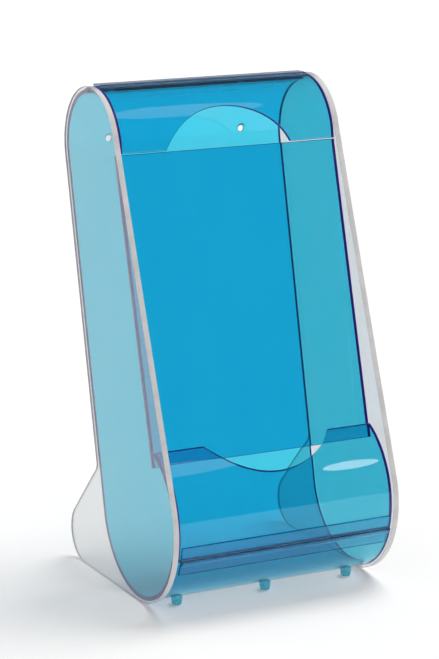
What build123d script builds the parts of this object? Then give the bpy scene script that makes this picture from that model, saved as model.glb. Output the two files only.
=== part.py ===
from build123d import *
from math import acos, asin, atan2, copysign, cos, degrees, hypot, radians, sin, sqrt
import os

# Safety glasses dispenser: a bin of bent sheet held between two clear side panels,
# with a lid on top and a door at the front of its round belly, each on a bead-and-socket hinge.
# Frame: X across, the wall behind towards +Y, the front towards -Y, the floor at Z = 0,
# with the origin in the middle of the footprint.
# Angles in the side view are counted from the back, over the top, to the front.

# Overall size, in millimetres
overall_width = 203.0
overall_height = 407.0
overall_depth = 204.0

# Side panels
panel_thickness = 4.7
panel_edge_chamfer = 0.4
top_radius = 50.6
belly_radius = 70.5
foot_radius = 25.0
flare_angle = 45.0
flare_fillet = 8.0

# Sheets
sheet_thickness = 3.2
sheet_edge_round = 0.3
belt_inset = 2.2
seam_gap = 1.0

# Lid, flush with the side panels' edges
lid_inset = 0.2
lid_side_clearance = 0.6
lid_hinge_angle = 84.0
lid_edge_angle = 177.3
lid_notch_width = 112.6
lid_notch_depth = 34.5
lid_swing = 110.0

# Lower door, set in like the belt
door_side_clearance = 0.6
door_edge_angle = 117.3
door_hinge_angle = 197.0
door_notch_width = 112.4
door_notch_depth = 32.0
door_swing = 100.0

# Front panel, from under the lid's edge to behind the door's edge
front_panel_setback = 1.1
lid_rest_gap = 0.8
door_rest_gap = 1.5
front_panel_overlap = 9.7

# Bead-and-socket hinges
bead_radius = 1.4
bead_clearance = 0.08
socket_wall = 0.75
knuckle_gap = 0.25
leaf_thickness = 1.6
leaf_corner_round = 0.6
socket_leaf_width = 13.0
bead_leaf_width = 12.0
bead_leaf_gap = 0.4
web_thickness = 0.9
slot_margin = 8.0
hinge_end_gap = 3.4

# Wall holes, countersunk from inside
hole_spacing = 120.0
hole_radius = 2.6
countersink_radius = 4.8
countersink_angle = 100.0

# Bumper feet under the front of the belly, set off from the side panels and forward of the wall plane
bumper_base_radius = 4.9
bumper_tip_radius = 4.1
bumper_tip_round = 1.6
bumper_forward = 157.0
bumper_left_inset = 19.8
bumper_right_inset = 17.8
bumper_centre_offset = 3.0

# Sizes that follow from the ones above
inner_width = overall_width - 2 * panel_thickness
wall_plane = overall_depth / 2
top_centre = (wall_plane - top_radius, overall_height - top_radius)
belly_centre = (wall_plane - overall_depth + belly_radius, belly_radius)
foot_centre = (wall_plane - foot_radius, foot_radius)
centre_run = top_centre[0] - belly_centre[0]
centre_rise = top_centre[1] - belly_centre[1]
centre_direction = degrees(atan2(centre_rise, centre_run))
tangent_turn = degrees(acos((belly_radius - top_radius) / hypot(centre_run, centre_rise)))
front_angle = centre_direction + tangent_turn
back_angle = centre_direction - tangent_turn
crown_radius = top_radius - belt_inset
bowl_radius = belly_radius - belt_inset
lid_radius = top_radius - lid_inset
bore_radius = bead_radius + bead_clearance
knuckle_radius = bore_radius + socket_wall
axis_lift = knuckle_radius + knuckle_gap
hinge_length = inner_width - 2 * hinge_end_gap


def polar(centre, radius, angle):
    """Point of the side view, as (y, z), at an angle on a circle."""
    return (centre[0] + radius * cos(radians(angle)), centre[1] + radius * sin(radians(angle)))


def reach(point, angle):
    """How far a point of the side view lies along a direction."""
    return point[0] * cos(radians(angle)) + point[1] * sin(radians(angle))


def crossing(angle_a, reach_a, angle_b, reach_b):
    """Where two straight edges of the side view meet, each given by its normal and its reach along it."""
    turn = sin(radians(angle_b - angle_a))
    across = reach_a * sin(radians(angle_b)) - reach_b * sin(radians(angle_a))
    up = reach_b * cos(radians(angle_a)) - reach_a * cos(radians(angle_b))
    return (across / turn, up / turn)


def draw_bent_strip(centre, outer_radius, thickness, start, end):
    """Draw the section of a strip bent round a centre, as four lines of the open line context."""
    outer = CenterArc(centre, outer_radius, start, end - start)
    inner = CenterArc(centre, outer_radius - thickness, start, end - start)
    Line(outer @ 0, inner @ 0)
    Line(outer @ 1, inner @ 1)


# Side panels: round top, straight back and front, round belly, and a foot that flares to the wall plane
flare_corner = crossing(
    back_angle,
    reach(top_centre, back_angle) + top_radius,
    flare_angle,
    reach(foot_centre, flare_angle) + foot_radius,
)


def side_panel(inner_face, direction):
    """A side panel with its inner face at a place along X, thickened towards one direction."""
    with BuildPart() as panel:
        with BuildSketch(Plane.YZ.offset(inner_face)):
            with BuildLine():
                crown = CenterArc(top_centre, top_radius, back_angle, front_angle - back_angle)
                belly = CenterArc(belly_centre, belly_radius, front_angle, 270 - front_angle)
                heel = CenterArc(foot_centre, foot_radius, -90, 90 + flare_angle)
                Line(crown @ 1, belly @ 0)
                Line(belly @ 1, heel @ 0)
                FilletPolyline(heel @ 1, flare_corner, crown @ 0, radius=flare_fillet)
            make_face()
        extrude(amount=panel_thickness * direction)
        chamfer(panel.faces().filter_by(Axis.X).edges(), length=panel_edge_chamfer)
    return panel


side_panel_left = side_panel(-inner_width / 2, -1)
side_panel_right = side_panel(inner_width / 2, 1)


# Back sheet: from the lid's hinge over the back, down and round the bowl to the door's hinge
bowl_start = door_hinge_angle + degrees(seam_gap / 2 / bowl_radius)
bowl_sweep = 360 + back_angle - bowl_start
crown_sweep = lid_hinge_angle - back_angle
hole_face = Plane((0, top_centre[0] + crown_radius - sheet_thickness, top_centre[1]), (1, 0, 0), (0, -1, 0))

with BuildPart() as back_sheet:
    with BuildSketch(Plane.YZ):
        with BuildLine():
            crown_out = CenterArc(top_centre, crown_radius, back_angle, crown_sweep)
            crown_in = CenterArc(top_centre, crown_radius - sheet_thickness, back_angle, crown_sweep)
            bowl_out = CenterArc(belly_centre, bowl_radius, bowl_start, bowl_sweep)
            bowl_in = CenterArc(belly_centre, bowl_radius - sheet_thickness, bowl_start, bowl_sweep)
            Line(crown_out @ 0, bowl_out @ 1)
            Line(crown_in @ 0, bowl_in @ 1)
            Line(crown_out @ 1, crown_in @ 1)
            Line(bowl_out @ 0, bowl_in @ 0)
        make_face()
    extrude(amount=inner_width / 2, both=True)
    with Locations(hole_face):
        with GridLocations(hole_spacing, 0, 2, 1):
            CounterSinkHole(hole_radius, countersink_radius, 2 * sheet_thickness, countersink_angle)


# Front panel: flat, its top tucked under the lid's edge and its foot just behind the door's edge
panel_top = polar(top_centre, lid_radius - front_panel_setback, lid_edge_angle)
panel_top = (panel_top[0], panel_top[1] - lid_rest_gap)
door_tip = polar(belly_centre, bowl_radius - sheet_thickness, door_edge_angle)
tip_run = panel_top[0] - door_tip[0]
tip_rise = panel_top[1] - door_tip[1]
tip_distance = hypot(tip_run, tip_rise)
front_panel_lean = degrees(atan2(tip_run, tip_rise) - asin(door_rest_gap / tip_distance))
front_panel_length = sqrt(tip_distance ** 2 - door_rest_gap ** 2) + front_panel_overlap
front_face = Plane(
    (0, *panel_top),
    (1, 0, 0),
    (0, -cos(radians(front_panel_lean)), sin(radians(front_panel_lean))),
)

with BuildPart() as front_panel:
    with BuildSketch(front_face):
        Rectangle(inner_width, front_panel_length, align=(Align.CENTER, Align.MAX))
    extrude(amount=-sheet_thickness)
    fillet(front_panel.edges().filter_by(Axis.X), radius=sheet_edge_round)


# Lid and lower door: bent sheets, each with a round finger notch in its free edge
def flap(centre, radius, hinge_side, free_edge, width, notch_width, notch_depth):
    """A bent sheet from its hinge side to its free edge, with a round notch that is open at that edge."""
    toward_hinge = copysign(1, hinge_side - free_edge)
    half_turn = notch_depth / radius / 2
    middle = free_edge + toward_hinge * degrees(half_turn)
    notch_drop = 2 * radius * sin(half_turn)
    notch_radius = (notch_width ** 2 / 4 + notch_drop ** 2) / 2 / notch_drop
    notch_plane = Plane(
        (0, *polar(centre, radius, middle)),
        (1, 0, 0),
        (0, cos(radians(middle)), sin(radians(middle))),
    )
    with BuildPart() as sheet:
        with BuildSketch(Plane.YZ):
            with BuildLine():
                draw_bent_strip(centre, radius, sheet_thickness, hinge_side, free_edge)
            make_face()
        extrude(amount=width / 2, both=True)
        fillet(sheet.edges().filter_by(Axis.X), radius=sheet_edge_round)
        with BuildSketch(notch_plane):
            with Locations((0, toward_hinge * (notch_radius - notch_drop / 2))):
                Circle(notch_radius)
        extrude(amount=sheet_thickness + notch_depth / 4, both=True, mode=Mode.SUBTRACT)
    return sheet


lid_start = lid_hinge_angle + degrees((knuckle_radius + bead_leaf_gap) / lid_radius)
lid = flap(
    top_centre,
    lid_radius,
    lid_start,
    lid_edge_angle,
    inner_width - 2 * lid_side_clearance,
    lid_notch_width,
    lid_notch_depth,
)

door_start = door_hinge_angle - degrees(seam_gap / 2 / bowl_radius)
lower_door = flap(
    belly_centre,
    bowl_radius,
    door_start,
    door_edge_angle,
    inner_width - 2 * door_side_clearance,
    door_notch_width,
    door_notch_depth,
)


# Hinges: a fixed strip with a slotted socket, and a strip on the flap whose bead turns in it.
# Each is drawn in its own section plane: origin on the hinge axis, x along the sheet towards the flap, y outwards.
def hinge_plane(centre, axis_radius, angle, flap_side):
    """Section plane of a hinge whose flap lies towards larger (1) or smaller (-1) angles."""
    along = (0, -flap_side * sin(radians(angle)), flap_side * cos(radians(angle)))
    return Plane((0, *polar(centre, axis_radius, angle)), along, (-flap_side, 0, 0))


def web_angle(axis_radius, surface_radius):
    """Direction from the bead to the root of its leaf, when closed."""
    rise = surface_radius + leaf_thickness / 2 - axis_radius
    return degrees(atan2(rise, knuckle_radius + bead_leaf_gap + leaf_thickness / 2))


def socket_leaf(plane, axis_radius, surface_radius, closed_web_angle, swing):
    """The fixed strip: a leaf on the sheet and a socket whose slot lets the web swing."""
    leaf_end = 90 + degrees(socket_leaf_width / surface_radius)
    web_half = degrees(asin(web_thickness / 2 / bore_radius)) + slot_margin
    leaf_corner = polar((0, -axis_radius), surface_radius + leaf_thickness, leaf_end)
    with BuildPart() as strip:
        with BuildSketch(plane) as section:
            with BuildLine():
                draw_bent_strip((0, -axis_radius), surface_radius + leaf_thickness, leaf_thickness, 90, leaf_end)
            make_face()
            fillet(section.vertices().sort_by_distance(leaf_corner)[0], radius=leaf_corner_round)
            Circle(knuckle_radius)
            Circle(bore_radius, mode=Mode.SUBTRACT)
            with BuildLine():
                lips = CenterArc((0, 0), 2 * knuckle_radius, closed_web_angle - web_half, swing + 2 * web_half)
                Polyline(lips @ 1, (0, 0), lips @ 0)
            make_face(mode=Mode.SUBTRACT)
        extrude(amount=hinge_length / 2, both=True)
    return strip


def bead_leaf(plane, axis_radius, surface_radius, closed_web_angle):
    """The moving strip: a leaf on the flap, and a thin web that carries the bead."""
    root = 90 - degrees((knuckle_radius + bead_leaf_gap) / surface_radius)
    leaf_end = 90 - degrees(bead_leaf_width / surface_radius)
    leaf_corner = polar((0, -axis_radius), surface_radius + leaf_thickness, leaf_end)
    web_length = knuckle_radius + bead_leaf_gap + leaf_thickness / 2
    with BuildPart() as strip:
        with BuildSketch(plane) as section:
            with BuildLine():
                draw_bent_strip((0, -axis_radius), surface_radius + leaf_thickness, leaf_thickness, root, leaf_end)
            make_face()
            fillet(section.vertices().sort_by_distance(leaf_corner)[0], radius=leaf_corner_round)
            Rectangle(web_length, web_thickness, rotation=closed_web_angle, align=(Align.MIN, Align.CENTER))
            Circle(bead_radius)
        extrude(amount=hinge_length / 2, both=True)
    return strip


top_axis_radius = crown_radius + axis_lift
top_hinge = hinge_plane(top_centre, top_axis_radius, lid_hinge_angle, 1)
top_web_angle = web_angle(top_axis_radius, lid_radius)
top_hinge_socket_leaf = socket_leaf(top_hinge, top_axis_radius, crown_radius, top_web_angle, lid_swing)
top_hinge_bead_leaf = bead_leaf(top_hinge, top_axis_radius, lid_radius, top_web_angle)

bottom_axis_radius = bowl_radius + axis_lift
bottom_hinge = hinge_plane(belly_centre, bottom_axis_radius, door_hinge_angle, -1)
bottom_web_angle = web_angle(bottom_axis_radius, bowl_radius)
bottom_hinge_socket_leaf = socket_leaf(bottom_hinge, bottom_axis_radius, bowl_radius, bottom_web_angle, door_swing)
bottom_hinge_bead_leaf = bead_leaf(bottom_hinge, bottom_axis_radius, bowl_radius, bottom_web_angle)


# Bumper feet: tapered studs that stand on the floor and meet the bowl above
bumper_line = wall_plane - bumper_forward
bumper_front = belly_centre[0] - bumper_line + bumper_base_radius
bumper_height = belly_centre[1] - sqrt(bowl_radius ** 2 - bumper_front ** 2)


def bumper(place):
    """One bumper foot at a place along X."""
    with BuildPart() as foot:
        with BuildSketch(Plane((place, bumper_line, 0), (1, 0, 0), (0, -1, 0))) as section:
            with BuildLine():
                Polyline(
                    (0, 0),
                    (bumper_tip_radius, 0),
                    (bumper_base_radius, bumper_height),
                    (0, bumper_height),
                    close=True,
                )
            make_face()
            fillet(section.vertices().sort_by_distance((bumper_tip_radius, 0))[0], radius=bumper_tip_round)
        revolve(axis=Axis((place, bumper_line, 0), (0, 0, 1)))
        with BuildSketch(Plane.YZ.offset(place)):
            with Locations(belly_centre):
                Circle(bowl_radius)
        extrude(amount=2 * bumper_base_radius, both=True, mode=Mode.SUBTRACT)
    return foot


pieces = {
    "side_panel_left": side_panel_left,
    "side_panel_right": side_panel_right,
    "back_sheet": back_sheet,
    "front_panel": front_panel,
    "lid": lid,
    "lower_door": lower_door,
    "top_hinge_socket_leaf": top_hinge_socket_leaf,
    "top_hinge_bead_leaf": top_hinge_bead_leaf,
    "bottom_hinge_socket_leaf": bottom_hinge_socket_leaf,
    "bottom_hinge_bead_leaf": bottom_hinge_bead_leaf,
}
bumper_places = {
    "foot_left": bumper_left_inset - inner_width / 2,
    "foot_centre": bumper_centre_offset,
    "foot_right": inner_width / 2 - bumper_right_inset,
}
for foot_name, place in bumper_places.items():
    pieces[foot_name] = bumper(place)

os.makedirs("parts", exist_ok=True)
for piece_name, piece in pieces.items():
    piece.part.label = piece_name
    export_step(piece.part, f"parts/{piece_name}.step")
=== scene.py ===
"""Looks of a safety glasses dispenser.

It has clear side panels, transparent blue sheets, clear hinge strips and bumper feet.
"""

import logging
import math
from collections.abc import Callable, Sequence
from dataclasses import dataclass, field
from enum import Enum

import bmesh
import bpy
from mathutils import Matrix, Vector


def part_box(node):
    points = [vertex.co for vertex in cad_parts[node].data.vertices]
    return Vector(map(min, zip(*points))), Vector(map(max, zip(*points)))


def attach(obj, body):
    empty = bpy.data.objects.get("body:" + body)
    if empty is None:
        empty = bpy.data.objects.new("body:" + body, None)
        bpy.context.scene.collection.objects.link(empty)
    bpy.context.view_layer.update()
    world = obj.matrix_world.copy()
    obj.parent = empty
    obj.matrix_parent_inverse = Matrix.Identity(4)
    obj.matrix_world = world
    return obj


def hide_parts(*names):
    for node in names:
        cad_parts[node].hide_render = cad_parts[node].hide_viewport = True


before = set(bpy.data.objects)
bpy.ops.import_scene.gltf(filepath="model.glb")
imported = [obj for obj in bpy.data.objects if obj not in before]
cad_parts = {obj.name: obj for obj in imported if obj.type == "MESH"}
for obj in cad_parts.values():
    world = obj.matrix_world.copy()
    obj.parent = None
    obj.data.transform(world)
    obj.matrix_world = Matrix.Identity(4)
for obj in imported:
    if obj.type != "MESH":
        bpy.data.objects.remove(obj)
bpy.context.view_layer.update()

log = logging.getLogger("dispenser")

Point = tuple[float, float]
Span = tuple[float, float]
Place = tuple[float, float, float]
Colour = tuple[float, float, float]

WHITE: Colour = (1.0, 1.0, 1.0)
ACRYLIC_IOR = 1.49
CRISP_ANGLE = 30.0


class Side(Enum):
    """Which side of the object a piece is on, as the sign of its X."""

    LEFT = -1
    RIGHT = 1


class Face(Enum):
    """The two kinds of surface of a cut sheet, as material slots of its mesh; CUT also marks the bands
    of cut colour painted beside a sheet's ends.
    """

    BROAD = 0
    CUT = 1


@dataclass(frozen=True)
class Circle:
    """A circle of the side view."""

    y: float
    z: float
    radius: float

    def at(self, angle: float, radius: float | None = None) -> Point:
        """Point at an angle in degrees, on this circle or on one of another radius about its centre.

        Args:
            angle: Degrees, counted from the back over the top to the front.
            radius: Another radius about the same centre.

        Returns:
            The point as (y, z).
        """
        reach = self.radius if radius is None else radius
        turn = math.radians(angle)
        return self.y + reach * math.cos(turn), self.z + reach * math.sin(turn)

    def arc(
        self, start: float, end: float, radius: float | None = None, step: float = 1.5
    ) -> list[Point]:
        """Points of an arc from one angle to another.

        Args:
            start: First angle in degrees.
            end: Last angle in degrees.
            radius: Another radius about the same centre.
            step: Largest angle between two points, in degrees.

        Returns:
            The points, both ends included.
        """
        count = max(1, math.ceil(abs(end - start) / step))
        return [self.at(start + (end - start) * i / count, radius) for i in range(count + 1)]


def reach_along(point: Point, angle: float) -> float:
    """How far a point of the side view lies along a direction in degrees."""
    return point[0] * math.cos(math.radians(angle)) + point[1] * math.sin(math.radians(angle))


def crossing(angle_a: float, reach_a: float, angle_b: float, reach_b: float) -> Point:
    """Where two straight lines of the side view meet.

    Args:
        angle_a: Direction of the first line's normal, in degrees.
        reach_a: Distance of the first line along its normal.
        angle_b: Direction of the second line's normal, in degrees.
        reach_b: Distance of the second line along its normal.

    Returns:
        The meeting point as (y, z).
    """
    a, b = math.radians(angle_a), math.radians(angle_b)
    turn = math.sin(b - a)
    across = (reach_a * math.sin(b) - reach_b * math.sin(a)) / turn
    up = (reach_b * math.cos(a) - reach_a * math.cos(b)) / turn
    return across, up


@dataclass(frozen=True)
class SideView:
    """The side view that every panel and sheet follows, in metres and degrees."""

    width: float = 0.203
    height: float = 0.407
    depth: float = 0.204
    panel_thickness: float = 0.0047
    sheet_thickness: float = 0.0032
    top_radius: float = 0.0506
    belly_radius: float = 0.0705
    heel_radius: float = 0.025
    flare_angle: float = 45.0
    flare_fillet: float = 0.008
    belt_inset: float = 0.0022
    lid_inset: float = 0.0002
    lid_hinge_angle: float = 84.0
    lid_edge_angle: float = 177.3
    door_hinge_angle: float = 197.0
    door_edge_angle: float = 117.3
    seam_gap: float = 0.001
    knuckle_radius: float = 0.00223
    leaf_gap: float = 0.0004
    flap_clearance: float = 0.0006
    # Width of the band of cut colour painted beside each end of a sheet, standing for the cut end seen
    # through it
    painted_edge_band: float = 0.0015

    @property
    def inner_half(self) -> float:
        """Half the clear width between the side panels."""
        return self.width / 2 - self.panel_thickness

    @property
    def crown(self) -> Circle:
        """The round top of the side panels."""
        return Circle(self.depth / 2 - self.top_radius, self.height - self.top_radius, self.top_radius)

    @property
    def belly(self) -> Circle:
        """The round belly of the side panels."""
        return Circle(self.belly_radius - self.depth / 2, self.belly_radius, self.belly_radius)

    @property
    def heel(self) -> Circle:
        """The round rear foot of the side panels."""
        return Circle(self.depth / 2 - self.heel_radius, self.heel_radius, self.heel_radius)

    @property
    def tangent_angles(self) -> tuple[float, float]:
        """Normals of the straight back and the straight front, in degrees."""
        run, rise = self.crown.y - self.belly.y, self.crown.z - self.belly.z
        between = math.degrees(math.atan2(rise, run))
        turn = math.degrees(math.acos((self.belly_radius - self.top_radius) / math.hypot(run, rise)))
        return between - turn, between + turn

    @property
    def flare_circle(self) -> Circle:
        """The fillet in the hollow between the straight back and the flared foot."""
        back, _ = self.tangent_angles
        back_reach = reach_along((self.crown.y, self.crown.z), back) + self.top_radius
        flare_reach = reach_along((self.heel.y, self.heel.z), self.flare_angle) + self.heel_radius
        fillet = self.flare_fillet
        y, z = crossing(back, back_reach + fillet, self.flare_angle, flare_reach + fillet)
        return Circle(y, z, fillet)

    def panel_outline(self, inset: float) -> list[Point]:
        """Closed outline of a side panel, drawn in by an inset.

        Args:
            inset: Distance inside the true outline, in metres.

        Returns:
            The outline's points, anticlockwise as (y, z).
        """
        back, front = self.tangent_angles
        straight_down = 270.0
        hollow = self.flare_fillet + inset
        points = self.crown.arc(back, front, self.top_radius - inset)
        points += self.belly.arc(front, straight_down, self.belly_radius - inset)
        points += self.heel.arc(straight_down - 360, self.flare_angle, self.heel_radius - inset)
        points += self.flare_circle.arc(180 + self.flare_angle, 180 + back, hollow, step=4.0)
        return points


class MeshDraft:
    """Collects corners and faces, and makes one smooth-shaded object of them."""

    def __init__(self, name: str) -> None:
        """Start an empty mesh that will have this name."""
        self.name = name
        self.points: list[Vector] = []
        self.faces: list[Sequence[int]] = []
        self.kinds: list[int] = []

    def ring(self, points: Sequence[Sequence[float]]) -> list[int]:
        """Add corners.

        Args:
            points: The corners' places in metres.

        Returns:
            The indices of the new corners.
        """
        first = len(self.points)
        self.points += [Vector(p) for p in points]
        return list(range(first, len(self.points)))

    def face(self, corners: Sequence[int], kind: Face) -> None:
        """Add one face of a kind."""
        self.faces.append(tuple(corners))
        self.kinds.append(kind.value)

    def bridge(
        self, first: Sequence[int], second: Sequence[int], kind: Face, closed: bool = True
    ) -> None:
        """Join two rings of as many corners by a strip of faces.

        Args:
            first: Corners of one ring.
            second: Corners of the other ring.
            kind: The strip's kind of surface.
            closed: Whether the rings close on themselves.
        """
        count = len(first)
        for i in range(count if closed else count - 1):
            j = (i + 1) % count
            self.face((first[i], first[j], second[j], second[i]), kind)

    def finish(
        self, finishes: Sequence[bpy.types.Material], sharp: float = CRISP_ANGLE
    ) -> bpy.types.Object:
        """Make the object.

        Args:
            finishes: One material for each kind of face.
            sharp: Edges that turn by more degrees than this stay crisp.

        Returns:
            The new object, linked to the scene.
        """
        mesh = bpy.data.meshes.new(self.name)
        mesh.from_pydata(self.points, [], self.faces)
        for finish in finishes:
            mesh.materials.append(finish)
        mesh.polygons.foreach_set("material_index", self.kinds)
        work = bmesh.new()
        work.from_mesh(mesh)
        bmesh.ops.remove_doubles(work, verts=work.verts, dist=1e-6)
        bmesh.ops.recalc_face_normals(work, faces=work.faces)
        work.to_mesh(mesh)
        work.free()
        mesh.shade_smooth()
        mesh.set_sharp_from_angle(angle=math.radians(sharp))
        piece = bpy.data.objects.new(self.name, mesh)
        bpy.context.scene.collection.objects.link(piece)
        return piece


def even_normals(piece: bpy.types.Object) -> None:
    """Weigh a piece's shading normals by face area, so that flats stay flat beside bends."""
    weigh = piece.modifiers.new("even_normals", "WEIGHTED_NORMAL")
    weigh.keep_sharp = True


def ease_edges(piece: bpy.types.Object, size: float) -> None:
    """Round off a piece's sharp edges slightly, as flame polishing does.

    Args:
        piece: The piece.
        size: Width of the eased edge, in metres.
    """
    bevel = piece.modifiers.new("eased_edges", "BEVEL")
    bevel.width = size
    bevel.segments = 2
    bevel.limit_method = "ANGLE"
    bevel.angle_limit = math.radians(35)
    bevel.harden_normals = True


@dataclass(frozen=True)
class Signal:
    """A number or colour that changes over a surface: an output socket with arithmetic."""

    graph: "Graph"
    socket: bpy.types.NodeSocket | None

    def math(self, operation: str, *others: "Signal | float", first: bool = True) -> "Signal":
        """Add a Math node.

        Args:
            operation: The Math node's operation.
            others: Its other inputs.
            first: Whether this signal is the first input, and not the last.

        Returns:
            The node's result.
        """
        values = [self, *others] if first else [*others, self]
        return self.graph.node("ShaderNodeMath", {"operation": operation}, dict(enumerate(values)))

    def __add__(self, other: "Signal | float") -> "Signal":
        """Sum."""
        return self.math("ADD", other)

    def __radd__(self, other: float) -> "Signal":
        """Sum with a plain number first."""
        return self.math("ADD", other, first=False)

    def __sub__(self, other: "Signal | float") -> "Signal":
        """Difference."""
        return self.math("SUBTRACT", other)

    def __rsub__(self, other: float) -> "Signal":
        """Difference from a plain number."""
        return self.math("SUBTRACT", other, first=False)

    def __mul__(self, other: "Signal | float") -> "Signal":
        """Product."""
        return self.math("MULTIPLY", other)

    def __rmul__(self, other: float) -> "Signal":
        """Product with a plain number first."""
        return self.math("MULTIPLY", other, first=False)

    def clamped(self) -> "Signal":
        """The signal kept between 0 and 1."""
        return self.graph.node("ShaderNodeClamp", {}, {"Value": self})

    def sibling(self, output: str) -> "Signal":
        """Another output of the same node."""
        return Signal(self.graph, self.socket.node.outputs[output])


class Graph:
    """A node tree under construction."""

    def __init__(self, tree: bpy.types.NodeTree) -> None:
        """Take over a node tree and empty it."""
        self.tree = tree
        tree.nodes.clear()

    def node(
        self,
        kind: str,
        settings: dict[str, object] | None = None,
        inputs: dict[str | int, object] | None = None,
        output: str | int = 0,
    ) -> Signal:
        """Make a node of any type.

        Args:
            kind: The node's type.
            settings: Its properties, set first.
            inputs: Values or signals by socket name or number.
            output: Which output to hand back.

        Returns:
            That output as a signal, with no socket where the node has no outputs.
        """
        made = self.tree.nodes.new(kind)
        for name, value in (settings or {}).items():
            setattr(made, name, value)
        for name, value in (inputs or {}).items():
            if isinstance(value, Signal):
                self.tree.links.new(value.socket, made.inputs[name])
            else:
                made.inputs[name].default_value = value
        return Signal(self, made.outputs[output] if len(made.outputs) else None)

    def place(self) -> Signal:
        """The surface point in the object's own frame, in metres."""
        return self.node("ShaderNodeTexCoord", output="Object")

    def noise(
        self, scale: float, detail: float = 3.0, stretch: Sequence[float] = (1.0, 1.0, 1.0)
    ) -> Signal:
        """A soft noise value from 0 to 1.

        Args:
            scale: Lumps per metre.
            detail: Number of finer layers.
            stretch: Scale along each axis.

        Returns:
            The noise value.
        """
        shrunk = self.node("ShaderNodeMapping", {}, {"Vector": self.place(), "Scale": tuple(stretch)})
        inputs = {"Vector": shrunk, "Scale": scale, "Detail": detail}
        return self.node("ShaderNodeTexNoise", {"noise_dimensions": "3D"}, inputs, "Fac")

    def remap(self, value: Signal, source: Span, target: Span = (0.0, 1.0)) -> Signal:
        """Stretch one range of a signal to another, clamped at both ends.

        Args:
            value: The signal.
            source: Start and end of its range.
            target: What the start and the end become.

        Returns:
            The stretched signal.
        """
        names = ("From Min", "From Max", "To Min", "To Max")
        inputs = {"Value": value, **dict(zip(names, (*source, *target)))}
        return self.node("ShaderNodeMapRange", {}, inputs)

    def blend(self, factor: Signal, first: Signal | Colour, second: Signal | Colour) -> Signal:
        """Mix two colours.

        Args:
            factor: 0 for the first, 1 for the second.
            first: A colour or signal.
            second: A colour or signal.

        Returns:
            The mixed colour.
        """
        a, b = ((*c, 1.0) if isinstance(c, tuple) else c for c in (first, second))
        # The Mix node repeats its socket names for each data type, so its colour sockets go by number
        factor_socket, first_socket, second_socket, result_socket = 0, 6, 7, 2
        inputs = {factor_socket: factor, first_socket: a, second_socket: b}
        return self.node("ShaderNodeMix", {"data_type": "RGBA"}, inputs, result_socket)

    def mix_shaders(self, factor: Signal, first: Signal, second: Signal) -> Signal:
        """The first shader where the factor is 0, the second where it is 1."""
        return self.node("ShaderNodeMixShader", {}, {0: factor, 1: first, 2: second})

    def bump(self, height: Signal, strength: float, distance: float) -> Signal:
        """A bumped normal.

        Args:
            height: Height from 0 to 1.
            strength: Share of the bump that shows.
            distance: Real height of the bump, in metres.

        Returns:
            The normal.
        """
        inputs = {"Height": height, "Strength": strength, "Distance": distance}
        return self.node("ShaderNodeBump", {}, inputs)


def new_material(name: str) -> tuple[bpy.types.Material, Graph]:
    """A material with an empty node tree.

    Args:
        name: The material's name.

    Returns:
        The material and its graph.
    """
    made = bpy.data.materials.new(name)
    made.use_nodes = True
    return made, Graph(made.node_tree)


def output(graph: Graph, surface: Signal) -> None:
    """Connect a shader to the material's output."""
    graph.node("ShaderNodeOutputMaterial", {}, {"Surface": surface})


@dataclass(frozen=True)
class ClearPlastic:
    """Polished transparent plastic with faint wiping marks, whose shadow takes its colour; its tint is
    partly painted shade that dims what is seen through.
    """

    name: str
    tint_and_painted_shade: Colour
    shadow: Colour
    ior: float = ACRYLIC_IOR
    marks: float = 0.02
    marks_span: Span = (0.45, 0.75)
    wipe_scale: float = 35.0
    wipe_stretch: Place = (1.0, 1.0, 0.35)
    pale: float = 0.02
    pale_span: Span = (0.3, 0.7)
    speck_scale: float = 900.0
    speck_span: Span = (0.70, 0.78)
    speck_roughness: float = 0.15
    ripple: float = 0.00002
    ripple_scale: float = 18.0

    def build(self) -> bpy.types.Material:
        """Make the material."""
        made, graph = new_material(self.name)
        wiped = graph.noise(self.wipe_scale, detail=4.0, stretch=self.wipe_stretch)
        ripples = graph.noise(self.ripple_scale, detail=1.0)
        specks = graph.remap(graph.noise(self.speck_scale, detail=2.0), self.speck_span)
        roughness = graph.remap(wiped, self.marks_span, (0.0, self.marks))
        roughness += specks * self.speck_roughness
        paleness = graph.remap(wiped, self.pale_span, (0.0, self.pale))
        inputs = {
            # The base colour is the plastic's tint together with painted shade that dims what is seen
            # through
            "Base Color": graph.blend(paleness, self.tint_and_painted_shade, WHITE),
            "Roughness": roughness,
            "IOR": self.ior,
            "Transmission Weight": 1.0,
            "Normal": graph.bump(ripples, strength=1.0, distance=self.ripple),
        }
        body = graph.node("ShaderNodeBsdfPrincipled", {}, inputs)
        shade = graph.node("ShaderNodeBsdfTransparent", {}, {"Color": (*self.shadow, 1.0)})
        in_shadow = graph.node("ShaderNodeLightPath", output="Is Shadow Ray")
        output(graph, graph.mix_shaders(in_shadow, body, shade))
        return made


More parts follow.
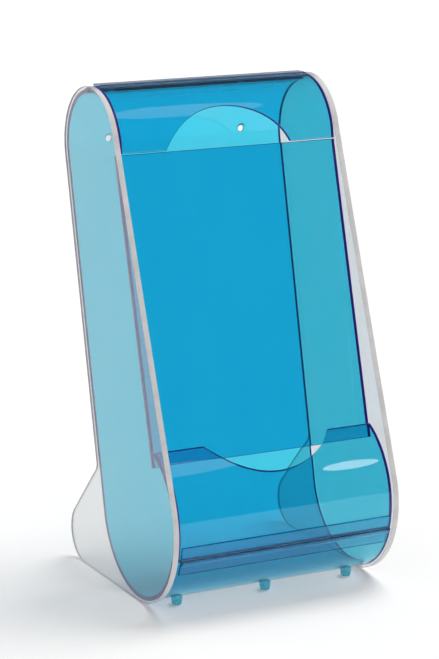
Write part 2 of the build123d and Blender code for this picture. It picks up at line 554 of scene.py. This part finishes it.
@dataclass(frozen=True)
class PaintedBondedSheet:
    """Painted colour of the back sheet on a clear panel's edge, where the sheet is bonded behind it: a
    painted refraction of the sheet seen through the edge, not the edge's own colour.
    """

    colour: Colour
    behind: Span = (0.035, 0.055)
    above_hollow: Span = (0.10, 0.13)
    rear_arc: Span = (0.315, 0.345)
    straight_share: float = 0.55
    under_belly: Span = (0.006, 0.022)
    under_share: float = 0.8
    before_heel: Span = (-0.02, 0.0)
    streak_scale: float = 120.0
    streak_span: Span = (0.35, 0.6)
    streak_share: float = 0.6

    def over(self, graph: Graph, colour: Signal) -> Signal:
        """Paint the bonded sheet's colour over an edge's own, as a painted refraction: full on the rear
        arc, weaker on the back and the bottom.

        Args:
            graph: The edge's graph.
            colour: The edge's own colour.

        Returns:
            The mixed colour.
        """
        place = graph.node("ShaderNodeSeparateXYZ", {}, {0: graph.place()}, "Y")
        height = place.sibling("Z")
        behind = graph.remap(place, self.behind) * graph.remap(height, self.above_hollow)
        arc = graph.remap(height, self.rear_arc, (self.straight_share, 1.0))
        low = graph.remap(height, self.under_belly, (self.under_share, 0.0))
        below = low * graph.remap(place, self.before_heel, (1.0, 0.0))
        streaks = graph.noise(self.streak_scale, detail=2.0)
        streaks = graph.remap(streaks, self.streak_span, (self.streak_share, 1.0))
        return graph.blend(((behind * arc + below) * streaks).clamped(), colour, self.colour)


@dataclass(frozen=True)
class CutEdge:
    """The cut edge of a sheet: the colour gathered inside the sheet shows there, with a painted glow
    that stands for light piped in through the sheet.
    """

    name: str
    deep: Colour
    light: Colour
    painted_glow: Colour
    # Painted colour of the bonded back sheet seen through this edge, if any
    bonded: PaintedBondedSheet | None = None
    cloud_scale: float = 60.0
    cloud_span: Span = (0.35, 0.7)
    grain_scale: float = 1500.0
    grain_span: Span = (0.3, 0.7)
    grain_height: float = 0.00003
    roughness: Span = (0.154, 0.308)

    def build(self) -> bpy.types.Material:
        """Make the material."""
        made, graph = new_material(self.name)
        clouds = graph.remap(graph.noise(self.cloud_scale), self.cloud_span)
        grain = graph.noise(self.grain_scale, detail=2.0)
        colour = graph.blend(clouds, self.deep, self.light)
        # Painted refraction: the bonded back sheet's colour is laid over the edge where the sheet lies
        # behind it
        if self.bonded:
            colour = self.bonded.over(graph, colour)
        inputs = {
            "Base Color": colour,
            "Roughness": graph.remap(grain, self.grain_span, self.roughness),
            "IOR": ACRYLIC_IOR,
            "Coat Weight": 0.15,
            "Coat Roughness": 0.08,
            # Painted glow: the edge gives off light of its own, standing for light gathered in the
            # sheet
            "Emission Color": (*self.painted_glow, 1.0),
            "Emission Strength": 1.0,
            "Normal": graph.bump(grain, strength=0.3, distance=self.grain_height),
        }
        output(graph, graph.node("ShaderNodeBsdfPrincipled", {}, inputs))
        return made


@dataclass(frozen=True)
class SoftBumper:
    """Translucent soft plastic of the stick-on feet, with a painted glow that brightens them in their
    shadow.
    """

    name: str
    colour: Colour
    pale_colour: Colour
    painted_glow: Colour
    pale: float = 0.35
    cloud_scale: float = 400.0
    cloud_span: Span = (0.3, 0.7)
    cloud_height: float = 0.00005
    roughness: Span = (0.18, 0.35)

    def build(self) -> bpy.types.Material:
        """Make the material."""
        made, graph = new_material(self.name)
        clouds = graph.noise(self.cloud_scale, detail=2.0)
        paleness = graph.remap(clouds, self.cloud_span, (0.0, self.pale))
        inputs = {
            "Base Color": graph.blend(paleness, self.colour, self.pale_colour),
            "Roughness": graph.remap(clouds, self.cloud_span, self.roughness),
            "IOR": 1.45,
            "Coat Weight": 0.3,
            # Painted glow: the feet give off light of their own, which brightens them where they sit in
            # shadow
            "Emission Color": (*self.painted_glow, 1.0),
            "Emission Strength": 1.0,
            "Normal": graph.bump(clouds, strength=0.3, distance=self.cloud_height),
        }
        output(graph, graph.node("ShaderNodeBsdfPrincipled", {}, inputs))
        return made


@dataclass
class Finishes:
    """Every finish of the object, made once and shared."""

    blue: bpy.types.Material = field(
        default_factory=ClearPlastic(
            "blue_sheet",
            # The sheet's own blue, darkened as painted shade for a dimmer backdrop seen through
            tint_and_painted_shade=(0.058, 0.62, 0.83),
            shadow=(0.76, 0.81, 0.85),
        ).build
    )
    blue_edge: bpy.types.Material = field(
        default_factory=CutEdge(
            "blue_sheet_edge",
            deep=(0.022, 0.006, 0.10),
            light=(0.04, 0.012, 0.19),
            # Painted glow of the blue cut edge
            painted_glow=(0.014, 0.003, 0.09),
        ).build
    )
    clear: bpy.types.Material = field(
        default_factory=ClearPlastic(
            # Grey here is painted shade: clear acrylic darkened to stand for a dimmer backdrop seen
            # through
            "clear_panel",
            tint_and_painted_shade=(0.72, 0.74, 0.745),
            shadow=(0.86, 0.87, 0.87),
        ).build
    )
    clear_edge: bpy.types.Material = field(
        default_factory=CutEdge(
            "clear_panel_edge",
            deep=(0.60, 0.60, 0.60),
            light=(0.74, 0.73, 0.73),
            # Painted glow that brightens the clear cut edge
            painted_glow=(0.14, 0.135, 0.135),
            # Painted refraction of the bonded back sheet on the clear edge
            bonded=PaintedBondedSheet((0.02, 0.004, 0.2)),
        ).build
    )
    strip: bpy.types.Material = field(
        default_factory=ClearPlastic(
            "hinge_strip",
            tint_and_painted_shade=(0.60, 0.76, 0.88),
            shadow=(0.8, 0.82, 0.84),
            ior=1.32,
            marks=0.25,
        ).build
    )
    bumper: bpy.types.Material = field(
        default_factory=SoftBumper(
            "bumper",
            colour=(0.06, 0.45, 0.58),
            pale_colour=(0.5, 0.8, 0.85),
            # Painted glow of the feet
            painted_glow=(0.01, 0.10, 0.14),
        ).build
    )


@dataclass
class SidePanels:
    """The two clear side panels with eased, light grey edges, brightened by a painted glow."""

    view: SideView
    finishes: Finishes
    edge_round: float = 0.0004
    round_steps: int = 3

    def rings(self) -> list[tuple[float, float]]:
        """Pairs of distance through the panel from its inner face, and inset of the outline there."""
        rounding = [math.radians(90.0 * i / self.round_steps) for i in range(self.round_steps + 1)]
        inner = [
            (self.edge_round * (1 - math.sin(turn)), self.edge_round * (1 - math.cos(turn)))
            for turn in reversed(rounding)
        ]
        outer = [(self.view.panel_thickness - through, inset) for through, inset in reversed(inner)]
        return inner + outer

    def build(self, side: Side) -> bpy.types.Object:
        """Make one panel.

        Args:
            side: Which of the two.

        Returns:
            The panel.
        """
        draft = MeshDraft(f"panel_{side.name.lower()}")
        loops = []
        for through, inset in self.rings():
            x = side.value * (self.view.inner_half + through)
            loops.append(draft.ring([(x, y, z) for y, z in self.view.panel_outline(inset)]))
        for first, second in zip(loops, loops[1:]):
            draft.bridge(first, second, Face.CUT)
        draft.face(loops[0], Face.BROAD)
        draft.face(loops[-1], Face.BROAD)
        panel = draft.finish([self.finishes.clear, self.finishes.clear_edge], sharp=50.0)
        even_normals(panel)
        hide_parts(f"side_panel_{side.name.lower()}")
        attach(panel, "shell")
        return panel


@dataclass
class FixedSheets:
    """The blue sheets bonded between the panels: the bent back sheet and the flat front panel."""

    view: SideView
    finishes: Finishes
    bond_gap: float = 0.00004
    # Width of the painted band of cut colour beside each end of the back sheet
    painted_bonded_band: float = 0.0004
    hole_half_spacing: float = 0.06
    hole_radius: float = 0.0026
    hole_sides: int = 48
    countersink_radius: float = 0.0048
    countersink_angle: float = 100.0
    edge_ease: float = 0.0003

    @property
    def half_width(self) -> float:
        """Half the width of a bonded sheet."""
        return self.view.inner_half - self.bond_gap

    def prism(
        self, name: str, outline: Sequence[Point], shade: float, inner_columns: Sequence[float] = ()
    ) -> MeshDraft:
        """A solid of one section all along X, whose ends and a painted band beside each end show the
        colour of the cut.

        Args:
            name: The mesh's name.
            outline: Closed outline of the section as (y, z).
            shade: Width of the painted band at each end that shows the cut's colour, standing for the
                cut end seen through the sheet.
            inner_columns: Further places along X where the surface has a ring.

        Returns:
            The draft.
        """
        draft = MeshDraft(name)
        shaded = self.half_width - shade
        columns = [-self.half_width, -shaded, *inner_columns, shaded, self.half_width]
        loops = [draft.ring([(x, y, z) for y, z in outline]) for x in columns]
        strips = list(zip(loops, loops[1:]))
        # The first and last strips get the cut's colour: a painted band that stands for the cut end
        # seen through the sheet
        for strip in strips:
            draft.bridge(*strip, Face.CUT if strip in (strips[0], strips[-1]) else Face.BROAD)
        draft.face(loops[0], Face.CUT)
        draft.face(loops[-1], Face.CUT)
        return draft

    def belt_outline(self) -> list[Point]:
        """Closed outline of the back sheet, from the lid's hinge to the door's and back inside."""
        view = self.view
        back, _ = view.tangent_angles
        crown_radius = view.top_radius - view.belt_inset
        bowl_radius = view.belly_radius - view.belt_inset
        bowl_end = view.door_hinge_angle + math.degrees(view.seam_gap / 2 / bowl_radius) - 360
        outer = view.crown.arc(view.lid_hinge_angle, back, crown_radius)
        outer += view.belly.arc(back, bowl_end, bowl_radius)
        inner = view.belly.arc(bowl_end, back, bowl_radius - view.sheet_thickness)
        inner += view.crown.arc(back, view.lid_hinge_angle, crown_radius - view.sheet_thickness)
        return outer + inner

    def hole_cutter(self, x: float) -> bpy.types.Object:
        """A solid of revolution along Y that cuts one countersunk hole.

        Args:
            x: The hole's place along X.

        Returns:
            The cutter.
        """
        view = self.view
        inner_face = view.crown.y + view.top_radius - view.belt_inset - view.sheet_thickness
        outside = inner_face + 3 * view.sheet_thickness
        widening = self.countersink_radius - self.hole_radius
        sink = widening / math.tan(math.radians(self.countersink_angle / 2))
        profile = [
            (outside, self.hole_radius),
            (inner_face + sink, self.hole_radius),
            (inner_face, self.countersink_radius),
            (inner_face - view.sheet_thickness, self.countersink_radius),
        ]
        draft = MeshDraft("hole_cutter")
        turns = [math.tau * i / self.hole_sides for i in range(self.hole_sides)]
        loops = [
            draft.ring([(x + r * math.cos(t), y, view.crown.z + r * math.sin(t)) for t in turns])
            for y, r in profile
        ]
        for kind, first, second in zip((Face.CUT, Face.BROAD, Face.BROAD), loops, loops[1:]):
            draft.bridge(first, second, kind)
        draft.face(loops[0], Face.CUT)
        draft.face(loops[-1], Face.BROAD)
        return draft.finish([self.finishes.blue, self.finishes.blue_edge])

    def build_back(self) -> bpy.types.Object:
        """Make the bent back sheet with its two wall holes."""
        margin = 2 * self.countersink_radius
        near, far = self.hole_half_spacing - margin, self.hole_half_spacing + margin
        columns = (-far, -near, near, far)
        draft = self.prism("back_sheet_bent", self.belt_outline(), self.painted_bonded_band, columns)
        sheet = draft.finish([self.finishes.blue, self.finishes.blue_edge])
        for x in (-self.hole_half_spacing, self.hole_half_spacing):
            self.cut(sheet, self.hole_cutter(x))
        even_normals(sheet)
        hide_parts("back_sheet")
        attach(sheet, "shell")
        return sheet

    @staticmethod
    def cut(piece: bpy.types.Object, cutter: bpy.types.Object) -> None:
        """Cut a solid out of a piece and delete the solid.

        Args:
            piece: The piece to cut.
            cutter: The solid to cut away.
        """
        difference = piece.modifiers.new("cut", "BOOLEAN")
        difference.operation = "DIFFERENCE"
        difference.solver = "EXACT"
        difference.object = cutter
        bpy.context.view_layer.update()
        evaluated = piece.evaluated_get(bpy.context.evaluated_depsgraph_get())
        mesh = bpy.data.meshes.new_from_object(evaluated)
        piece.modifiers.remove(difference)
        piece.data = mesh
        mesh.shade_smooth()
        mesh.set_sharp_from_angle(angle=math.radians(CRISP_ANGLE))
        bpy.data.objects.remove(cutter)

    def build_front(self, lid: "Flap", door: "Flap") -> bpy.types.Object:
        """Make the flat front panel, from under the lid's edge to behind the door's edge.

        Args:
            lid: The lid, which rests just above it.
            door: The lower door, which rests just in front of it.

        Returns:
            The front panel.
        """
        outline = FrontPanelRules(self.view, lid, door).outline(self.edge_ease)
        draft = self.prism("front_panel_flat", outline, self.view.painted_edge_band)
        sides = len(outline)
        # The middle strip's faces follow those of the first, and all but its two broad ones are cut
        for side in set(range(sides)) - {0, sides // 2}:
            draft.kinds[sides + side] = Face.CUT.value
        panel = draft.finish([self.finishes.blue, self.finishes.blue_edge])
        even_normals(panel)
        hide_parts("front_panel")
        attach(panel, "shell")
        return panel


@dataclass
class Flap:
    """A bent sheet that swings on a hinge, with a round finger notch in its free edge."""

    name: str
    node: str
    body: str
    circle: Circle
    hinge_side: float
    free_edge: float
    half_width: float
    thickness: float
    notch_width: float
    notch_depth: float
    painted_edge_band: float
    rows: int = 64
    notch_columns: int = 60
    side_columns: int = 6
    edge_ease: float = 0.00025

    @property
    def toward_hinge(self) -> float:
        """Sign of the turn from the free edge to the hinge."""
        return math.copysign(1.0, self.hinge_side - self.free_edge)

    @property
    def notch_half_turn(self) -> float:
        """Half the turn about the bend that the notch takes up, in radians."""
        return self.notch_depth / self.circle.radius / 2

    @property
    def notch_middle(self) -> float:
        """Angle of the middle of the notch, in degrees."""
        return self.free_edge + self.toward_hinge * math.degrees(self.notch_half_turn)

    @property
    def notch_drop(self) -> float:
        """Depth of the notch across the plane of its circle."""
        return 2 * self.circle.radius * math.sin(self.notch_half_turn)

    @property
    def notch_radius(self) -> float:
        """Radius of the notch's circle."""
        return (self.notch_width ** 2 / 4 + self.notch_drop ** 2) / 2 / self.notch_drop

    def column_limits(self, radius: float) -> list[tuple[float, float]]:
        """Where each column of the surface at a radius ends.

        Args:
            radius: Radius of the outer or inner surface.

        Returns:
            Pairs of place along X and end angle in degrees, from the left side to the right.
        """
        centre = self.toward_hinge * (self.notch_radius - self.notch_drop / 2)
        at_edge = radius * math.sin(math.radians(self.notch_middle - self.free_edge))
        half_notch = math.sqrt(self.notch_radius ** 2 - (at_edge - centre) ** 2)
        widest = math.asin(half_notch / self.notch_radius)
        inside = []
        for i in range(self.notch_columns + 1):
            turn = widest * (2 * i / self.notch_columns - 1)
            across = centre - self.toward_hinge * self.notch_radius * math.cos(turn)
            end = self.notch_middle - math.degrees(math.asin(across / radius))
            inside.append((self.notch_radius * math.sin(turn), end))
        # Where the band of cut colour painted beside the flap's side begins
        shaded = self.half_width - self.painted_edge_band
        pitch = (shaded - half_notch) / self.side_columns
        plain = [self.half_width] + [shaded - pitch * i for i in range(self.side_columns)]
        left = [(-x, self.free_edge) for x in plain]
        right = [(x, self.free_edge) for x in reversed(plain)]
        return left + inside + right

    def build(self, finishes: Finishes) -> bpy.types.Object:
        """Make the flap.

        Args:
            finishes: The object's finishes.

        Returns:
            The flap, riding on its own body.
        """
        draft = MeshDraft(self.name)
        surfaces = []
        for radius in (self.circle.radius, self.circle.radius - self.thickness):
            columns = []
            for x, end in self.column_limits(radius):
                step = (end - self.hinge_side) / self.rows
                angles = [self.hinge_side + step * j for j in range(self.rows + 1)]
                columns.append(draft.ring([(x, *self.circle.at(angle, radius)) for angle in angles]))
            surfaces.append(columns)
            strips = list(zip(columns, columns[1:]))
            # The first and last strips get the cut's colour: a painted band that stands for the cut end
            # seen through the sheet
            for strip in strips:
                kind = Face.CUT if strip in (strips[0], strips[-1]) else Face.BROAD
                draft.bridge(*strip, kind, closed=False)
        outer, inner = surfaces
        for place in (0, -1):
            draft.bridge([c[place] for c in outer], [c[place] for c in inner], Face.CUT, closed=False)
            draft.bridge(outer[place], inner[place], Face.CUT, closed=False)
        flap = draft.finish([finishes.blue, finishes.blue_edge])
        ease_edges(flap, self.edge_ease)
        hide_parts(self.node)
        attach(flap, self.body)
        return flap


@dataclass(frozen=True)
class FrontPanelRules:
    """Where the front panel lies between the lid and the lower door."""

    view: SideView
    lid: Flap
    door: Flap
    setback: float = 0.0011
    lid_rest_gap: float = 0.0008
    door_rest_gap: float = 0.0015
    overlap: float = 0.0097

    @property
    def top(self) -> Point:
        """Upper outer corner of the panel."""
        y, z = self.lid.circle.at(self.lid.free_edge, self.lid.circle.radius - self.setback)
        return y, z - self.lid_rest_gap

    @property
    def tip_offset(self) -> Point:
        """From the door's inner edge to the panel's upper corner."""
        tip = self.door.circle.at(self.door.free_edge, self.door.circle.radius - self.door.thickness)
        return self.top[0] - tip[0], self.top[1] - tip[1]

    @property
    def lean(self) -> float:
        """Lean of the panel from the upright, in radians."""
        run, rise = self.tip_offset
        return math.atan2(run, rise) - math.asin(self.door_rest_gap / math.hypot(run, rise))

    @property
    def length(self) -> float:
        """Length of the panel down its slope."""
        run, rise = self.tip_offset
        return math.sqrt(run ** 2 + rise ** 2 - self.door_rest_gap ** 2) + self.overlap

    @property
    def down(self) -> Point:
        """Direction down the panel."""
        return -math.sin(self.lean), -math.cos(self.lean)

    @property
    def inward(self) -> Point:
        """Direction from the panel's outer face to its inner face."""
        return math.cos(self.lean), -math.sin(self.lean)

    def outline(self, ease: float) -> list[Point]:
        """Closed outline of the panel's section, its corners cut off slightly.

        Args:
            ease: How much the corners are cut off, in metres.

        Returns:
            The outline's points as (y, z), starting down the outer face.
        """
        top, down, inward = self.top, self.down, self.inward
        thickness, length = self.view.sheet_thickness, self.length
        corners = [
            (0.0, ease),
            (0.0, length - ease),
            (ease, length),
            (thickness - ease, length),
            (thickness, length - ease),
            (thickness, ease),
            (thickness - ease, 0.0),
            (ease, 0.0),
        ]
        return [
            (top[0] + down[0] * along + inward[0] * deep, top[1] + down[1] * along + inward[1] * deep)
            for deep, along in corners
        ]


@dataclass
class SmallParts:
    """The hinge strips and bumper feet, which keep their exact solids and get their finishes."""

    finishes: Finishes
    strips: tuple[str, ...] = (
        "top_hinge_socket_leaf",
        "top_hinge_bead_leaf",
        "bottom_hinge_socket_leaf",
        "bottom_hinge_bead_leaf",
    )
    feet: tuple[str, ...] = ("foot_left", "foot_centre", "foot_right")

    def dress(self) -> list[bpy.types.Object]:
        """Give each of these nodes its finish.

        Returns:
            The dressed nodes.
        """
        dressed = []
        for names, finish in ((self.strips, self.finishes.strip), (self.feet, self.finishes.bumper)):
            for name in names:
                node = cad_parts[name]
                node.data.materials.clear()
                node.data.materials.append(finish)
                dressed.append(node)
        return dressed


@dataclass
class Studio:
    """White floor and surroundings, one soft sun and two soft boxes."""

    floor_half: float = 12.0
    floor_drop: float = 0.0002
    floor_albedo: float = 0.86
    floor_white: float = 1.02
    ambient: float = 0.30
    ceiling: float = 0.11
    ceiling_rise: Span = (0.0, 0.4)
    front_turn: Span = (-0.2, 0.2)
    sun_strength: float = 2.3
    sun_travel: Place = (-0.46, -0.10, -0.88)
    sun_softness: float = 38.0
    lid_box_aim: Place = (-0.04, 0.0, 0.39)
    lid_box_toward: Place = (0.436, -0.30, 0.85)
    lid_box_distance: float = 2.0
    lid_box_size: Span = (0.25, 0.8)
    lid_box_power: float = 0.65
    door_box_aim_x: float = 0.075
    door_box_place: Place = (0.540, -0.704, 0.731)
    door_box_size: Span = (0.068, 0.18)
    door_box_power: float = 0.21

    @staticmethod
    def seen_rays(graph: Graph) -> Signal:
        """One for rays from the camera, off a gloss or through a clear piece, and zero for the rest."""
        camera = graph.node("ShaderNodeLightPath", output="Is Camera Ray")
        seen = camera + camera.sibling("Is Glossy Ray") + camera.sibling("Is Transmission Ray")
        return seen.clamped()

    def build_floor(self) -> bpy.types.Object:
        """Make the floor, just under the object, lit to plain white outside the object's shadow."""
        draft = MeshDraft("studio_floor")
        half = self.floor_half
        corners = [(-half, -half, 0), (half, -half, 0), (half, half, 0), (-half, half, 0)]
        draft.face(draft.ring(corners), Face.BROAD)
        made, graph = new_material("studio_floor")
        upright = -self.sun_travel[2] / Vector(self.sun_travel).length
        lit = self.floor_albedo * (self.sun_strength * upright / math.pi + self.ambient)
        grey = (self.floor_albedo, self.floor_albedo, self.floor_albedo, 1.0)
        diffuse = graph.node("ShaderNodeBsdfDiffuse", {}, {"Color": grey})
        lift = graph.node("ShaderNodeEmission", {}, {"Strength": max(0.0, self.floor_white - lit)})
        lifted = graph.node("ShaderNodeAddShader", {}, {0: diffuse, 1: lift})
        output(graph, graph.mix_shaders(self.seen_rays(graph), diffuse, lifted))
        floor = draft.finish([made])
        floor.location.z = -self.floor_drop
        return floor

    def build_world(self) -> None:
        """White surroundings with an even fill, dim above and in front for all but camera rays."""
        world = bpy.data.worlds.new("studio_world")
        world.use_nodes = True
        bpy.context.scene.world = world
        graph = Graph(world.node_tree)
        fill, backdrop, ceiling = (
            graph.node("ShaderNodeBackground", {}, {"Color": (*WHITE, 1.0), "Strength": strength})
            for strength in (self.ambient, 1.0, self.ceiling)
        )
        direction = graph.node("ShaderNodeTexCoord", output="Generated")
        height = graph.node("ShaderNodeSeparateXYZ", {}, {0: direction}, "Z")
        above = graph.remap(height, self.ceiling_rise)
        in_front = graph.remap(height.sibling("Y"), self.front_turn, (1.0, 0.0))
        from_camera = graph.node("ShaderNodeLightPath", output="Is Camera Ray")
        dim = above.math("MAXIMUM", in_front) * (1.0 - from_camera)
        room = graph.mix_shaders(dim, backdrop, ceiling)
        surface = graph.mix_shaders(self.seen_rays(graph), fill, room)
        graph.node("ShaderNodeOutputWorld", {}, {"Surface": surface})

    def build_sun(self) -> None:
        """The main light, very soft, from high on the right."""
        lamp = bpy.data.lights.new("soft_sun", "SUN")
        lamp.energy = self.sun_strength
        lamp.angle = math.radians(self.sun_softness)
        sun = bpy.data.objects.new("soft_sun", lamp)
        sun.rotation_euler = Vector(self.sun_travel).to_track_quat("-Z", "Y").to_euler()
        sun.visible_glossy = False
        sun.visible_transmission = False
        bpy.context.scene.collection.objects.link(sun)

    @staticmethod
    def soft_box(
        name: str, place: Vector, aim: Vector, size: Span, power: float
    ) -> bpy.types.Object:
        """An oval soft box that shows only as a highlight, its long side across the bends' axis.

        Args:
            name: The lamp's name.
            place: Its place in metres.
            aim: The point that it faces.
            size: Its width and height in metres.
            power: Its power in watts.

        Returns:
            The lamp's object.
        """
        lamp = bpy.data.lights.new(name, "AREA")
        lamp.shape = "ELLIPSE"
        lamp.size, lamp.size_y = size
        lamp.energy = power
        box = bpy.data.objects.new(name, lamp)
        back = (place - aim).normalized()
        tall = back.cross(Vector((1.0, 0.0, 0.0))).normalized()
        turn = Matrix((tall.cross(back), tall, back)).transposed()
        box.matrix_world = Matrix.Translation(place) @ turn.to_4x4()
        box.visible_camera = False
        box.visible_transmission = False
        bpy.context.scene.collection.objects.link(box)
        return box

    def build(self) -> None:
        """Make floor, surroundings, sun and the soft box whose highlight lies on the lid."""
        self.build_floor()
        self.build_world()
        self.build_sun()
        aim = Vector(self.lid_box_aim)
        place = aim + self.lid_box_distance * Vector(self.lid_box_toward).normalized()
        self.soft_box("lid_box", place, aim, self.lid_box_size, self.lid_box_power)

    def light_door(self, door: bpy.types.Object) -> None:
        """Add the soft box whose highlight lies on the right of the lower door, and on nothing else.

        Args:
            door: The lower door.
        """
        low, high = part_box("lower_door")
        aim = Vector((self.door_box_aim_x, low[1], (low[2] + high[2]) / 2))
        place = Vector(self.door_box_place)
        box = self.soft_box("door_box", place, aim, self.door_box_size, self.door_box_power)
        receivers = bpy.data.collections.new("door_box_receivers")
        receivers.objects.link(door)
        box.light_linking.receiver_collection = receivers


@dataclass(frozen=True)
class PhotoCamera:
    """The photograph's camera: place in metres, turns in degrees, focal length in pixels."""

    place: Place = (-0.8731, -1.7217, 0.6561)
    yaw: float = 26.62
    pitch: float = 13.09
    roll: float = -0.19
    focal_pixels: float = 2419.9
    long_side_pixels: float = 659.0
    sensor: float = 36.0
    clip: Span = (0.05, 60.0)

    def build(self) -> bpy.types.Object:
        """Make the camera and set it as the scene's."""
        yaw, pitch, roll = (math.radians(a) for a in (self.yaw, self.pitch, self.roll))
        ahead = math.cos(pitch)
        forward = Vector((math.sin(yaw) * ahead, math.cos(yaw) * ahead, -math.sin(pitch)))
        level = Vector((math.cos(yaw), -math.sin(yaw), 0.0))
        above = level.cross(forward)
        right = math.cos(roll) * level + math.sin(roll) * above
        up = math.cos(roll) * above - math.sin(roll) * level
        lens = bpy.data.cameras.new("photo_camera")
        lens.sensor_width = self.sensor
        lens.lens = self.focal_pixels / self.long_side_pixels * self.sensor
        lens.clip_start, lens.clip_end = self.clip
        camera = bpy.data.objects.new("photo_camera", lens)
        turn = Matrix((right, up, -forward)).transposed()
        camera.matrix_world = Matrix.Translation(self.place) @ turn.to_4x4()
        bpy.context.scene.collection.objects.link(camera)
        bpy.context.scene.camera = camera
        return camera


def make_flaps(view: SideView) -> tuple[Flap, Flap]:
    """Describe the lid and the lower door.

    Args:
        view: The side view.

    Returns:
        The lid and the door.
    """
    lid_radius = view.top_radius - view.lid_inset
    stand_off = view.knuckle_radius + view.leaf_gap
    bowl_radius = view.belly_radius - view.belt_inset
    shared = {
        "half_width": view.inner_half - view.flap_clearance,
        "thickness": view.sheet_thickness,
        "painted_edge_band": view.painted_edge_band,
    }
    lid = Flap(
        name="lid_bent",
        node="lid",
        body="lid",
        circle=Circle(view.crown.y, view.crown.z, lid_radius),
        hinge_side=view.lid_hinge_angle + math.degrees(stand_off / lid_radius),
        free_edge=view.lid_edge_angle,
        notch_width=0.1126,
        notch_depth=0.0345,
        **shared,
    )
    door = Flap(
        name="door_bent",
        node="lower_door",
        body="door",
        circle=Circle(view.belly.y, view.belly.z, bowl_radius),
        hinge_side=view.door_hinge_angle - math.degrees(view.seam_gap / 2 / bowl_radius),
        free_edge=view.door_edge_angle,
        notch_width=0.1124,
        notch_depth=0.032,
        **shared,
    )
    return lid, door


def main() -> None:
    """Build the dressed object, its studio and its camera."""
    logging.basicConfig(level=logging.INFO, format="%(name)s: %(message)s")
    scene = bpy.context.scene
    scene.view_settings.view_transform = "Standard"
    view = SideView()
    finishes = Finishes()
    PhotoCamera().build()
    studio = Studio()
    studio.build()
    lid, door = make_flaps(view)
    panels = SidePanels(view, finishes)
    sheets = FixedSheets(view, finishes)
    steps: list[Callable[[], bpy.types.Object]] = [
        lambda: panels.build(Side.LEFT),
        lambda: panels.build(Side.RIGHT),
        sheets.build_back,
        lambda: sheets.build_front(lid, door),
        lambda: lid.build(finishes),
        lambda: door.build(finishes),
    ]
    pieces = [step() for step in steps]
    for piece in pieces:
        log.info("built %s", piece.name)
    studio.light_door(pieces[-1])
    for node in SmallParts(finishes).dress():
        log.info("dressed %s", node.name)


if __name__ == "__main__":
    main()
